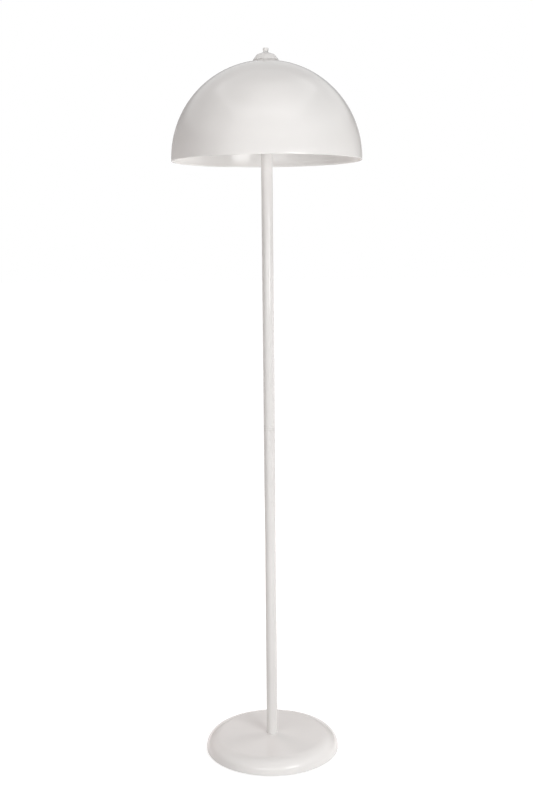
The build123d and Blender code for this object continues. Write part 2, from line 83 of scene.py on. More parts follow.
SHADE_RADIUS = radius("shade")
RIM_Z = bottom("shade")
LAND_Z = top("shade")
LAND_RADIUS = 20.0 * MM
DOME_Z = LAND_Z - math.sqrt(SHADE_RADIUS**2 - LAND_RADIUS**2)
SHADE_WALL = 1.0 * MM
SHADE_HOLE = 5.3 * MM
HEM_HEIGHT = 5.0 * MM
HEM_THICKNESS = 2.4 * MM

CAP_WALL = 1.2 * MM
CAP_WAIST_INSET = 4.3 * MM
CAP_WAIST_HEIGHT = 6.6 * MM
CAP_SHOULDER_INSET = 8.2 * MM
CAP_SHOULDER_HEIGHT = 11.8 * MM
CAP_TOP_RADIUS = 5.6 * MM
CAP_WAIST_ROUNDING = 14.0 * MM
CAP_SHOULDER_ROUNDING = 7.0 * MM
CAP_GAP = 0.5 * MM
CAP_FOOT_INSET = 1.2 * MM
RING_HOLE = 9.0 * MM

KNOB_FOOT_INSET = 0.8 * MM
KNOB_FOOT_HEIGHT = 1.4 * MM
KNOB_ROUNDING = 0.9 * MM
KNOB_CLEARANCE = 0.5 * MM

M10_PITCH = 1.0 * MM
M10_DEPTH = 0.55 * MM
M6_PITCH = 1.0 * MM
M6_DEPTH = 0.55 * MM
STUD_RADIUS = 3.0 * MM
BORE_PLAY = 0.05 * MM
HOLE_PLAY = 0.3 * MM

E27_PITCH = 3.629 * MM
E27_DEPTH = 1.0 * MM
EDGE = 0.3 * MM

# ---------------------------------------------------------------- camera, fitted to the photograph
PHOTO_HEIGHT = 800
FOCAL_PIXELS = 1118.8
CAMERA_PLACE = Vector((-0.0055, -2.3934, 1.1284))
CAMERA_PITCH = math.radians(-8.067)
CAMERA_ROLL = math.radians(-0.573)
SENSOR_LONG_SIDE = 36.0


def make_camera():
    data = bpy.data.cameras.new("camera")
    data.sensor_width = SENSOR_LONG_SIDE
    data.lens = SENSOR_LONG_SIDE * FOCAL_PIXELS / PHOTO_HEIGHT
    camera = bpy.data.objects.new("camera", data)
    bpy.context.scene.collection.objects.link(camera)
    tilt = Matrix.Rotation(math.pi / 2 + CAMERA_PITCH, 4, "X")
    roll = Matrix.Rotation(CAMERA_ROLL, 4, "Z")
    camera.matrix_world = Matrix.Translation(CAMERA_PLACE) @ tilt @ roll
    bpy.context.scene.camera = camera


# ---------------------------------------------------------------- node helpers
def feed(tree, value, socket):
    """Set a socket to a number, or link an output to it."""
    if isinstance(value, (int, float)):
        socket.default_value = value
    else:
        tree.links.new(value, socket)


def calc(tree, operation, first, second=0.0):
    """A math node on two outputs or numbers."""
    node = tree.nodes.new("ShaderNodeMath")
    node.operation = operation
    feed(tree, first, node.inputs[0])
    feed(tree, second, node.inputs[1])
    return node.outputs[0]


def span(tree, value, start, end, low=0.0, high=1.0):
    """Map a value between two limits onto two others, held at the ends."""
    node = tree.nodes.new("ShaderNodeMapRange")
    limits = {"From Min": start, "From Max": end, "To Min": low, "To Max": high}
    for name, number in limits.items():
        node.inputs[name].default_value = number
    tree.links.new(value, node.inputs["Value"])
    return node.outputs["Result"]


def seen_by(tree, *kinds):
    """1 for rays of any of these kinds, else 0."""
    path = tree.nodes.new("ShaderNodeLightPath")
    seen = path.outputs[kinds[0]]
    for kind in kinds[1:]:
        seen = calc(tree, "MAXIMUM", seen, path.outputs[kind])
    return seen


def tone(colour, factor):
    """A colour made lighter or darker."""
    return (*(channel * factor for channel in colour[:3]), 1.0)


class Recipe:
    """A material's node tree, with short calls for what the finishes share."""

    def __init__(self, name, **values):
        self.material = bpy.data.materials.new(name)
        self.material.use_nodes = True
        self.tree = self.material.node_tree
        self.tree.nodes.clear()
        output = self.tree.nodes.new("ShaderNodeOutputMaterial")
        self.shader = self.tree.nodes.new("ShaderNodeBsdfPrincipled")
        self.tree.links.new(self.shader.outputs["BSDF"], output.inputs["Surface"])
        self.place = self.tree.nodes.new("ShaderNodeTexCoord").outputs["Object"]
        self.relief = None
        for key, value in values.items():
            self.shader.inputs[key.replace("_", " ")].default_value = value

    def noise(self, size, detail=2.0, roughness=0.5, stretch=None):
        """Noise whose features are about size metres across; stretch squeezes it by axis."""
        node = self.tree.nodes.new("ShaderNodeTexNoise")
        node.inputs["Scale"].default_value = 1.0 / size
        node.inputs["Detail"].default_value = detail
        node.inputs["Roughness"].default_value = roughness
        place = self.place
        if stretch is not None:
            mapping = self.tree.nodes.new("ShaderNodeMapping")
            mapping.inputs["Scale"].default_value = stretch
            self.tree.links.new(place, mapping.inputs["Vector"])
            place = mapping.outputs["Vector"]
        self.tree.links.new(place, node.inputs["Vector"])
        return node.outputs["Fac"]

    def bands(self, value, size):
        """Uneven bands about size metres wide along a length in metres."""
        node = self.tree.nodes.new("ShaderNodeTexNoise")
        node.noise_dimensions = "1D"
        node.inputs["Scale"].default_value = 1.0 / size
        node.inputs["Detail"].default_value = 2.0
        self.tree.links.new(value, node.inputs["W"])
        return node.outputs["Fac"]

    def colour(self, factor, dark, light):
        """Lay two colours over the middle range of a factor as the base colour."""
        node = self.tree.nodes.new("ShaderNodeValToRGB")
        node.color_ramp.elements[0].position = 0.35
        node.color_ramp.elements[0].color = dark
        node.color_ramp.elements[1].position = 0.65
        node.color_ramp.elements[1].color = light
        self.tree.links.new(factor, node.inputs["Fac"])
        self.tree.links.new(node.outputs["Color"], self.shader.inputs["Base Color"])

    def gloss(self, factor, low, high):
        """Let the roughness run between two values over a factor."""
        rough = span(self.tree, factor, 0.3, 0.7, low, high)
        self.tree.links.new(rough, self.shader.inputs["Roughness"])

    def bump(self, height, depth):
        """Raise the surface by a factor times a depth in metres, over any earlier relief."""
        node = self.tree.nodes.new("ShaderNodeBump")
        node.inputs["Distance"].default_value = depth
        self.tree.links.new(height, node.inputs["Height"])
        if self.relief is not None:
            self.tree.links.new(self.relief, node.inputs["Normal"])
        self.relief = node.outputs["Normal"]
        self.tree.links.new(self.relief, self.shader.inputs["Normal"])


# ---------------------------------------------------------------- finishes
WHITE = (0.804, 0.800, 0.786, 1.0)
RING_PITCH = 3.0 * MM


def enamel(name, level=1.0, rough=0.08):
    """Glossy white stoved enamel: a faint cloud, uneven gloss and orange peel; level lightens or
    darkens the whole colour, which paints light or shade.
    """
    recipe = Recipe(name, IOR=1.5)
    cloud = recipe.noise(0.11, 3.0)
    recipe.colour(cloud, tone(WHITE, 0.985 * level), tone(WHITE, 1.012 * level))
    recipe.gloss(recipe.noise(0.03), rough, rough * 1.5)
    recipe.bump(recipe.noise(0.0035, 1.0), 0.003 * MM)
    return recipe


def spun_enamel(name):
    """The enamel inside the dome, over the faint rings that spinning leaves in the sheet."""
    recipe = enamel(name)
    split = recipe.tree.nodes.new("ShaderNodeSeparateXYZ")
    recipe.tree.links.new(recipe.place, split.inputs["Vector"])
    rise = calc(recipe.tree, "SUBTRACT", split.outputs["Z"], DOME_Z)
    sine = calc(recipe.tree, "DIVIDE", rise, SHADE_RADIUS)
    angle = calc(recipe.tree, "ARCSINE", calc(recipe.tree, "MINIMUM", sine, 0.999))
    length = calc(recipe.tree, "MULTIPLY", angle, SHADE_RADIUS)
    recipe.bump(recipe.bands(length, RING_PITCH), 0.006 * MM)
    return recipe


def metal(name, colour, roughness, grain=0.004):
    """Bare or plated metal with a fine worked grain."""
    recipe = Recipe(name, Metallic=1.0)
    recipe.colour(recipe.noise(0.012, 3.0), tone(colour, 0.88), tone(colour, 1.04))
    lines = recipe.noise(grain, 4.0, 0.6)
    recipe.gloss(lines, roughness * 0.7, roughness * 1.3)
    recipe.bump(lines, 0.005 * MM)
    return recipe


def cast_iron():
    """Rough grey casting."""
    recipe = Recipe("cast_iron", Metallic=0.5)
    cloud = recipe.noise(0.02, 4.0)
    recipe.colour(cloud, (0.020, 0.020, 0.022, 1), (0.055, 0.052, 0.050, 1))
    recipe.gloss(cloud, 0.55, 0.80)
    recipe.bump(recipe.noise(0.0012, 3.0), 0.25 * MM)
    return recipe


def felt():
    """Needled felt: matted fibre with no weave."""
    recipe = Recipe("felt", IOR=1.4, Sheen_Weight=0.35, Sheen_Roughness=0.6, Roughness=0.95)
    fibres = recipe.noise(0.0009, 4.0, 0.7, (1.0, 0.35, 1.0))
    recipe.colour(fibres, (0.010, 0.010, 0.011, 1), (0.040, 0.040, 0.043, 1))
    recipe.bump(fibres, 0.30 * MM)
    return recipe


def moulded(name, colour, roughness, grain=0.0015, depth=0.001, coat=0.0):
    """Moulded plastic, rubber or glazed ceramic with a faint surface."""
    recipe = Recipe(name, IOR=1.48, Coat_Weight=coat, Coat_Roughness=0.05)
    recipe.colour(recipe.noise(0.02), tone(colour, 0.96), tone(colour, 1.03))
    fine = recipe.noise(grain)
    recipe.gloss(fine, roughness * 0.85, roughness * 1.15)
    recipe.bump(fine, depth * MM)
    return recipe


def opal_glass():
    """Milk glass: bright, slightly translucent, polished."""
    recipe = Recipe("opal_glass", IOR=1.5, Subsurface_Weight=0.3, Subsurface_Scale=0.003)
    recipe.shader.inputs["Subsurface Radius"].default_value = (1.0, 0.95, 0.9)
    cloud = recipe.noise(0.03)
    recipe.colour(cloud, (0.815, 0.80, 0.765, 1), (0.845, 0.835, 0.81, 1))
    recipe.gloss(cloud, 0.10, 0.15)
    return recipe


# Copies of the white enamel: the pole's copy is painted darker as painted shade, and the base's
# copy lighter as painted light, to match where less and more light falls.
TUBE_SHADE_TONE = 0.92
BASE_LIGHT_TONE = 1.03
FINISHES = {
    "white_enamel": enamel("white_enamel"),
    "pole_shaded_enamel": enamel("pole_shaded_enamel", TUBE_SHADE_TONE),
    "base_lit_enamel": enamel("base_lit_enamel", BASE_LIGHT_TONE),
    "shade_enamel": enamel("shade_enamel", rough=0.11),
    "shade_lining": spun_enamel("shade_lining"),
    "cast_iron": cast_iron(),
    "felt": felt(),
    "zinc_steel": metal("zinc_steel", (0.56, 0.57, 0.58, 1), 0.30),
    "bush_rubber": moulded("bush_rubber", (0.72, 0.71, 0.69, 1), 0.60, 0.0012, 0.02),
    "terminal_plastic": moulded("terminal_plastic", (0.66, 0.65, 0.58, 1), 0.45),
    "brass": metal("brass", (0.66, 0.47, 0.17, 1), 0.26),
    "holder_plastic": moulded("holder_plastic", (0.79, 0.78, 0.755, 1), 0.14),
    "porcelain": moulded("porcelain", (0.80, 0.78, 0.73, 1), 0.18, 0.003, coat=0.6),
    "lead_sheath": moulded("lead_sheath", (0.62, 0.60, 0.58, 1), 0.50),
    "bulb_insulator": moulded("bulb_insulator", (0.012, 0.012, 0.013, 1), 0.12, coat=0.4),
    "bulb_metal": metal("bulb_metal", (0.66, 0.66, 0.66, 1), 0.24),
    "solder": metal("solder", (0.60, 0.60, 0.58, 1), 0.38, grain=0.002),
    "opal_glass": opal_glass(),
}


def paint(piece, finish):
    """Give a piece one finish in place of any it has."""
    piece.data.materials.clear()
    piece.data.materials.append(FINISHES[finish].material)


for entry in frame["record"]["subparts"]:
    paint(NODES[entry["node"]], entry["material_slot"])
# The base cover takes the lighter copy of the enamel: painted light.
paint(NODES["base_cover"], "base_lit_enamel")


# ---------------------------------------------------------------- mesh helpers
def arc(centre, size, start, end, steps):
    """Points along an arc of (radius, height), between two angles in degrees from level."""
    points = []
    for step in range(steps + 1):
        angle = math.radians(start + (end - start) * step / steps)
        points.append((centre[0] + size * math.cos(angle), centre[1] + size * math.sin(angle)))
    return points


def eased(*corners, steps=4):
    """A closed outline whose corners, (radius, height, rounding), are rounded."""
    points = []
    for index, (across, up, rounding) in enumerate(corners):
        here = Vector((across, up))
        if rounding == 0:
            points.append(tuple(here))
            continue
        before = Vector(corners[index - 1][:2]) - here
        after = Vector(corners[(index + 1) % len(corners)][:2]) - here
        half = before.angle(after) / 2
        along = min(rounding / math.tan(half), 0.45 * before.length, 0.45 * after.length)
        middle = before.normalized() + after.normalized()
        centre = here + middle.normalized() * (along / math.cos(half))
        first = here + before.normalized() * along - centre
        last = here + after.normalized() * along - centre
        size = first.length
        for step in range(steps + 1):
            points.append(tuple(centre + size * first.slerp(last, step / steps)))
    return points


def thread(size, pitch, depth, start, end, steps=8):
    """Rings of a right-hand thread of that outer radius, chamfered at both ends."""
    rings = []
    count = max(2, round((end - start) / pitch * steps))
    for index in range(count + 1):
        height = start + (end - start) * index / count

        def ring(angle, height=height):
            groove = 0.5 - 0.5 * math.cos(math.tau * (height / pitch) - angle)
            near_end = min(height - start, end - height)
            return min(size - depth * groove, size - depth + near_end), height

        rings.append(ring)
    return rings


def lathe(shape, rings, segments, place=Matrix.Identity(4)):
    """Add a turned skin to a bmesh: each ring is (radius, height) or a function of the angle."""
    loops = []
    for ring in rings:
        loop = []
        for step in range(segments):
            angle = math.tau * step / segments
            across, height = ring(angle) if callable(ring) else ring
            point = (across * math.cos(angle), across * math.sin(angle), height)
            loop.append(shape.verts.new(place @ Vector(point)))
            if across < 1e-7:
                break
        loops.append(loop)
    for index in range(len(loops)):
        first, second = loops[index], loops[(index + 1) % len(loops)]
        for step in range(segments if max(len(first), len(second)) > 1 else 0):
            after = (step + 1) % segments
            corners = [first[step % len(first)], first[after % len(first)]]
            corners += [second[after % len(second)], second[step % len(second)]]
            shape.faces.new(list(dict.fromkeys(corners)))


SHARP_ANGLE = math.radians(35)


def finish_piece(name, shape, body, slot, *nodes, finish=None):
    """Turn a bmesh into a smooth piece that rides on a body and stands for CAD nodes."""
    bmesh.ops.recalc_face_normals(shape, faces=shape.faces)
    mesh = bpy.data.meshes.new(name)
    shape.to_mesh(mesh)
    shape.free()
    mesh.shade_smooth()
    mesh.set_sharp_from_angle(angle=SHARP_ANGLE)
    piece = bpy.data.objects.new(name, mesh)
    bpy.context.scene.collection.objects.link(piece)
    paint(piece, finish or slot)
    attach(piece, body)
    if nodes:
        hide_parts(*nodes)
    return piece


def turned(name, rings, segments, body, slot, *nodes, finish=None):
    """One piece turned about the lamp's axis."""
    shape = bmesh.new()
    lathe(shape, rings, segments)
    return finish_piece(name, shape, body, slot, *nodes, finish=finish)


def arm(side):
    """Placement of a piece made along Z on the right (1) or left (-1) arm."""
    lay = Matrix.Rotation(side * math.pi / 2, 4, "Y")
    return Matrix.Translation((0, 0, ARM_Z)) @ lay


def turned_pair(name, rings, segments, body, slot, *nodes):
    """The same turned piece on both arms, as one object."""
    shape = bmesh.new()
    for side in (1, -1):
        lathe(shape, rings, segments, arm(side))
    return finish_piece(name, shape, body, slot, *nodes)


# ---------------------------------------------------------------- nuts
NUT_SEGMENTS = 72
NUT_CHAMFER = math.tan(math.radians(30))
NUT_FACE = 0.97  # flat face, as a share of the width across the flats


def nut_rings(flats, hole, start, end):
    """Rings of a hexagonal nut whose corners are turned down to a cone at both faces."""
    face = flats / 2 * NUT_FACE
    turn = math.radians(60)

    def side(angle, height, into):
        across = flats / 2 / math.cos(angle % turn - turn / 2)
        return across, height + into * (across - face) * NUT_CHAMFER

    return [
        (hole, start + EDGE),
        (hole + EDGE, start),
        (face, start),
        lambda angle: side(angle, start, 1),
        lambda angle: side(angle, end, -1),
        (face, end),
        (hole + EDGE, end),
        (hole, end - EDGE),
    ]


M10_FLATS = 14.0 * MM
M10_NUT_HEIGHT = 4.0 * MM
ARM_NUT_HEIGHT = 3.0 * MM
M10_HOLE = 5.05 * MM


def make_nuts():
    """Hexagonal nuts on the stem, under the seat, in the hub and base, and on the arms."""
    shape = bmesh.new()
    low, high = bottom("stem_nuts"), top("stem_nuts")
    for start in (low, high - M10_NUT_HEIGHT):
        rings = nut_rings(M10_FLATS, M10_HOLE, start, start + M10_NUT_HEIGHT)
        lathe(shape, rings, NUT_SEGMENTS)
    finish_piece("stem_nuts_chamfered", shape, "stand", "zinc_steel", "stem_nuts")
    for node in ("seat_nut", "hub_nut"):
        rings = nut_rings(M10_FLATS, M10_HOLE, bottom(node), top(node))
        turned(node + "_chamfered", rings, NUT_SEGMENTS, "stand", "zinc_steel", node)
    flats = 2 * girth("base_nut")
    rings = nut_rings(flats, M10_HOLE, bottom("base_nut"), top("base_nut"))
    turned("base_nut_chamfered", rings, NUT_SEGMENTS, "stand", "zinc_steel", "base_nut")
    end = reach("arm_nuts")
    rings = nut_rings(M10_FLATS, M10_HOLE, end - ARM_NUT_HEIGHT, end)
    name = "arm_nuts_chamfered"
    turned_pair(name, rings, NUT_SEGMENTS, "stand", "zinc_steel", "arm_nuts")


# ---------------------------------------------------------------- pole
POLE_SEGMENTS = 96
SPIGOT_RADIUS = 7.0 * MM
SPIGOT_PITCH = 1.25 * MM
SPIGOT_DEPTH = 0.6 * MM
LEAD_HOLE = 4.5 * MM
SPIGOT_BORE = SPIGOT_RADIUS + BORE_PLAY
SEAM_GAP = 0.22 * MM
SEAM_DEPTH = 1.1 * MM
SEAM_ROUNDING = 0.12 * MM


def seam(height, side):
    """Outer corner of a butted end, set back to leave its half of a fine dark gap."""
    inside, gap = POLE_RADIUS - SEAM_DEPTH, height + side * SEAM_GAP
    corners = [(inside, height, 0), (inside, gap, 0), (POLE_RADIUS, gap, SEAM_ROUNDING)]
    return corners if side > 0 else corners[::-1]


def tube(name):
    """Plain length of pole between two butted ends."""
    low, high = bottom(name), top(name)
    lower_end = [(POLE_RADIUS, low, EDGE)] if name == "lower_pole" else seam(low, 1)
    outline = eased((TUBE_BORE, low, 0), *lower_end, *seam(high, -1), (TUBE_BORE, high, 0))
    # Each length of pole takes the darker copy of the enamel: painted shade.
    turned(name + "_tube", outline, POLE_SEGMENTS, "stand", "white_enamel", name,
           finish="pole_shaded_enamel")


def make_pole():
    """Two tubes, the screwed joint between them and the bush that closes the top."""
    tube("lower_pole")
    tube("upper_pole")
    low, high = "lower_joint_bush", "upper_joint_bush"
    middle = top("lower_joint_bush")
    # The collars and top bush take the same darker enamel as the tubes: painted shade.
    outline = eased(
        (SPIGOT_BORE, bottom(low), 0),
        (TUBE_BORE, bottom(low), EDGE),
        (TUBE_BORE, top("lower_pole"), 0),
        *seam(top("lower_pole"), 1),
        *seam(middle, -1),
        (SPIGOT_BORE, middle, 0),
    )
    turned("lower_joint_collar", outline, POLE_SEGMENTS, "stand", "white_enamel", low,
           finish="pole_shaded_enamel")
    outline = thread(SPIGOT_RADIUS, SPIGOT_PITCH, SPIGOT_DEPTH, bottom(high), middle)
    outline += eased(
        *seam(middle, 1),
        *seam(bottom("upper_pole"), -1),
        (TUBE_BORE, bottom("upper_pole"), 0),
        (TUBE_BORE, top(high), EDGE),
        (LEAD_HOLE, top(high), 0),
        (LEAD_HOLE, bottom(high), 0),
    )
    turned("upper_joint_collar", outline, POLE_SEGMENTS, "stand", "white_enamel", high,
           finish="pole_shaded_enamel")
    node = "pole_top_bush"
    outline = eased(
        (M10_HOLE, bottom(node), 0),
        (TUBE_BORE, bottom(node), EDGE),
        (TUBE_BORE, top("upper_pole"), 0),
        *seam(top("upper_pole"), 1),
        (POLE_RADIUS, top(node), EDGE),
        (M10_HOLE, top(node), 0),
    )
    turned("pole_top_collar", outline, POLE_SEGMENTS, "stand", "white_enamel", node,
           finish="pole_shaded_enamel")


# ---------------------------------------------------------------- stem and its seat
STEM_SEGMENTS = 40


def make_stem():
    """Threaded rod, stepped down to the thinner stud that the knob screws on."""
    node = "shade_stem"
    step = top("cap_ring")
    stem_radius = radius(node)
    shoulder = step - M10_DEPTH
    rings = [(0, bottom(node))]
    rings += thread(stem_radius, M10_PITCH, M10_DEPTH, bottom(node), shoulder)
    rings += [(stem_radius - M10_DEPTH, step - 2 * EDGE), (STUD_RADIUS - M6_DEPTH, step)]
    rings += thread(STUD_RADIUS, M6_PITCH, M6_DEPTH, step, top(node))
    rings += [(0, top(node))]
    turned("threaded_stem", rings, STEM_SEGMENTS, "stand", "zinc_steel", node)


SEAT_THICKNESS = 2.5 * MM
SEAT_BOSS = 9.0 * MM


def make_seat():
    """Flanged disc under the top of the shade."""
    node = "shade_seat"
    under = top(node) - SEAT_THICKNESS
    outline = eased(
        (M10_HOLE, bottom(node), EDGE),
        (SEAT_BOSS, bottom(node), EDGE),
        (SEAT_BOSS, under, 2 * EDGE),
        (radius(node), under, EDGE),
        (radius(node), top(node), EDGE),
        (M10_HOLE, top(node), EDGE),
    )
    turned("turned_seat", outline, POLE_SEGMENTS, "stand", "zinc_steel", node)


# ---------------------------------------------------------------- lampholders
HOLDER_SEGMENTS = 96
GRIP_FLUTES = 48
GRIP_DEPTH = 0.45 * MM
HOLDER_WALL = 2.0 * MM
HOLDER_BOSS = 8.5 * MM
HOLDER_BOSS_LENGTH = 5.0 * MM
HOLDER_SLOPE = 11.0 * MM
COLLAR_WIDTH = 4.0 * MM
COLLAR_STEP = 1.0 * MM
HOLDER_LIP = 5.0 * MM
MOUTH_PLAY = 1.2 * MM
SHELL_WALL = 0.5 * MM


def make_lampholder_caps():
    """Rear covers: a threaded boss that widens over a cone to the barrel."""
    start = reach("arm_nuts")
    joint = reach("lampholder_caps")
    barrel = girth("lampholder_caps")
    slope = start + HOLDER_BOSS_LENGTH
    slope_end = slope + HOLDER_SLOPE
    inside = barrel - HOLDER_WALL
    outline = eased(
        (M10_HOLE, start, 0),
        (HOLDER_BOSS, start, 2 * EDGE),
        (HOLDER_BOSS, slope, 6 * EDGE),
        (barrel - HOLDER_WALL, slope_end - HOLDER_WALL, 4 * EDGE),
        (barrel, slope_end, 4 * EDGE),
        (barrel, joint, EDGE),
        (inside, joint, 0),
        (inside, slope_end, 0),
        (HOLDER_BOSS, slope + HOLDER_WALL, 0),
        (M10_HOLE, slope + HOLDER_WALL, 0),
    )
    name, node = "lampholder_rear_covers", "lampholder_caps"
    turned_pair(name, outline, HOLDER_SEGMENTS, "stand", "holder_plastic", node)


def fluted(size, height, depth):
    """A ring with shallow grip flutes."""
    return lambda angle: (size - depth * (0.5 + 0.5 * math.cos(GRIP_FLUTES * angle)), height)


def make_lampholder_bodies():
    """Front barrels: a fluted collar, a plain wall and an inward lip at the mouth."""
    node = "lampholder_bodies"
    joint = reach("lampholder_caps")
    end = reach(node)
    collar = girth(node)
    barrel = collar - COLLAR_STEP
    inside = barrel - HOLDER_WALL
    mouth = girth("screw_shells") + MOUTH_PLAY
    grip_end = joint + COLLAR_WIDTH
    rings = [(inside, joint), (collar - 2 * EDGE, joint)]
    rings += [fluted(collar, joint + EDGE, 0), fluted(collar, joint + 2 * EDGE, GRIP_DEPTH)]
    rings += [fluted(collar, grip_end - EDGE, GRIP_DEPTH), fluted(collar, grip_end, 0)]
    rings += [(barrel, grip_end + COLLAR_STEP)]
    rings += arc((barrel - 1.5 * MM, end - 1.5 * MM), 1.5 * MM, 0, 90, 6)
    rings += [(mouth + 2 * EDGE, end), (mouth, end - 2 * EDGE), (mouth, end - HOLDER_LIP)]
    rings += [(inside, end - HOLDER_LIP)]
    name = "lampholder_barrels"
    turned_pair(name, rings, 4 * GRIP_FLUTES, "stand", "holder_plastic", node)


def make_screw_shells():
    """Thin shells with the rolled thread that takes the bulb."""
    node = "screw_shells"
    outer = girth(node)
    start = reach("contact_inserts") - 2.0 * MM
    end = reach(node)
    count = round((end - start) / E27_PITCH * 12)
    skins = []
    for size in (outer - SHELL_WALL, outer):
        skin = []
        for index in range(count + 1):
            height = start + (end - start) * index / count
            skin.append(rolled(size, height))
        skins.append(skin)
    rings = skins[0] + skins[1][::-1]
    turned_pair("threaded_shells", rings, 72, "stand", "brass", node)


def rolled(size, height, depth=E27_DEPTH):
    """A ring of the bulb's rolled round thread."""

    def ring(angle):
        groove = 0.5 - 0.5 * math.cos(math.tau * (height / E27_PITCH) - angle)
        return size - depth * groove, height

    return ring


# ---------------------------------------------------------------- bulbs
BULB_CAP_SKIN = 0.4 * MM
BULB_CAP_LIP = 2.0 * MM
BULB_CAP_FLOOR_WIDTH = 5.0 * MM
BULB_CAP_NOSE_HEIGHT = 1.4 * MM
BULB_CAP_NOSE_INSET = 0.6 * MM
NOSE_ROUNDING = 1.0 * MM
THREAD_LENGTH = 13.6 * MM
BUTTON_RADIUS = 4.8 * MM
BUTTON_HEIGHT = 1.2 * MM
SOLDER_RADIUS = 4.9 * MM
CONE_INSET = 2.0 * MM
CONE_EDGE = 0.6 * MM
BULB_SEGMENTS = 96
GLASS_WALL = 1.0 * MM
NECK_GAP = 0.1 * MM
NECK_INSIDE = 7.0 * MM


def bulb_cap_rings(start, end, size):
    """Rolled cap: closed end, rounded thread, plain skirt and a crimped edge."""
    thread_start = start + BULB_CAP_NOSE_HEIGHT
    thread_end = start + THREAD_LENGTH
    skirt = size - BULB_CAP_SKIN / 2
    nose = size - E27_DEPTH - BULB_CAP_NOSE_INSET - NOSE_ROUNDING
    hollow = size - BULB_CAP_FLOOR_WIDTH
    outer = [(hollow, start), (nose, start)]
    outer += arc((nose, start + NOSE_ROUNDING), NOSE_ROUNDING, -90, 0, 4)[1:]
    count = round((thread_end - thread_start) / E27_PITCH * 14)
    for index in range(count + 1):
        height = thread_start + (thread_end - thread_start) * index / count
        outer.append(rolled(size, height))
    outer += [(skirt - 0.3 * MM, thread_end + 1.0 * MM), (skirt, thread_end + 1.8 * MM)]
    outer += [(skirt, end - 1.4 * MM), (size, end - 0.8 * MM), (size, end - 0.2 * MM)]
    outer += [(skirt, end), (size - BULB_CAP_SKIN, end)]
    return outer + [(size - BULB_CAP_SKIN, end - BULB_CAP_LIP), (hollow, end - BULB_CAP_LIP)]


def bulb_glass_rings(neck_end, centre, globe, neck):
    """Globe whose neck flows in through one concave curve, inside and out."""
    rise = centre - neck_end
    spread = globe**2 - neck**2
    sweep = (rise**2 - spread) / (2 * (globe - neck))
    hub = (neck + sweep, neck_end)
    slant = math.degrees(math.atan2(rise, hub[0]))
    skins = []
    for inset in (0, GLASS_WALL):
        skin = [(neck - inset, neck_end - NECK_INSIDE)]
        skin += arc(hub, sweep + inset, 180, 180 - slant, 16)
        skin += arc((0, centre), globe - inset, -slant, 90, 56)[1:]
        skins.append(skin)
    return skins[0] + skins[1][::-1]


def make_bulb(side, word):
    """Screw cap, globe, insulator and solder button of the bulb on one arm."""
    glass, cap, contact = (f"{word}_bulb_{part}" for part in ("glass", "cap", "contact"))
    low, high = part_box(cap)
    cap_start, cap_end = sorted((abs(low.x), abs(high.x)))
    size = girth(cap)
    shape = bmesh.new()
    lathe(shape, bulb_cap_rings(cap_start, cap_end, size), BULB_SEGMENTS, arm(side))
    finish_piece(f"{word}_bulb_screw_cap", shape, f"{word}_bulb", "bulb_metal", cap)

    globe = girth(glass)
    crown = max(abs(corner.x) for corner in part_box(glass))
    neck = size - BULB_CAP_SKIN - NECK_GAP
    rings = bulb_glass_rings(cap_end, crown - globe, globe, neck)
    shape = bmesh.new()
    lathe(shape, rings, BULB_SEGMENTS, arm(side))
    finish_piece(f"{word}_bulb_globe", shape, f"{word}_bulb", "opal_glass", glass)

    low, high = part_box(contact)
    start = min(abs(low.x), abs(high.x))
    body = f"{word}_bulb_contact"
    cone_start = start + BUTTON_HEIGHT
    cone = [(0, cone_start), (BUTTON_RADIUS, cone_start)]
    cone += eased(
        (BUTTON_RADIUS, cone_start, 0),
        (size - CONE_INSET, cap_start - CONE_EDGE, 0.5 * MM),
        (size - CONE_INSET, cap_start, 0),
    )[1:]
    cone += [(0, cap_start)]
    shape = bmesh.new()
    lathe(shape, cone, BULB_SEGMENTS, arm(side))
    finish_piece(f"{word}_bulb_insulator", shape, body, "bulb_insulator", contact)
    middle = (SOLDER_RADIUS - BUTTON_HEIGHT, cone_start)
    solder = [(0, start)] + arc(middle, BUTTON_HEIGHT, -90, 0, 6)
    shape = bmesh.new()
    lathe(shape, solder + [(0, cone_start)], BULB_SEGMENTS, arm(side))
    name = f"{word}_bulb_solder_button"
    finish_piece(name, shape, body, "bulb_metal", finish="solder")


# ---------------------------------------------------------------- shade
DOME_SEGMENTS = 240
DOME_STEPS = 100


def make_shade():
    """The dome as one fine turned mesh, with its lining in a finish of its own."""
    inner = SHADE_RADIUS - SHADE_WALL
    outer_top = math.degrees(math.asin((LAND_Z - DOME_Z) / SHADE_RADIUS))
    inner_top = math.degrees(math.asin((LAND_Z - SHADE_WALL - DOME_Z) / inner))
    hem_round = HEM_THICKNESS / 2
    hem_top = RIM_Z + HEM_HEIGHT
    hem_angle = math.degrees(math.asin((hem_top - DOME_Z) / inner))
    hem_inside = SHADE_RADIUS - HEM_THICKNESS
    rings = [(SHADE_HOLE, LAND_Z)]
    rings += arc((0, DOME_Z), SHADE_RADIUS, outer_top, 0, DOME_STEPS)
    rings += arc((SHADE_RADIUS - hem_round, RIM_Z + hem_round), hem_round, 0, -180, 12)
    rings += arc((hem_inside + hem_round, hem_top - hem_round / 2), hem_round, 180, 150, 4)
    rings += arc((0, DOME_Z), inner, hem_angle, inner_top, DOME_STEPS)
    rings += [(SHADE_HOLE, LAND_Z - SHADE_WALL)]
    piece = turned("shade_dome", rings, DOME_SEGMENTS, "shade", "shade_enamel", "shade")
    piece.data.materials.append(FINISHES["shade_lining"].material)
    for face in piece.data.polygons:
        spot = face.center
        from_centre = math.hypot(spot.x, spot.y, spot.z - DOME_Z)
        inside = from_centre < SHADE_RADIUS - SHADE_WALL * 0.6
        face.material_index = 1 if inside and spot.z > hem_top else 0


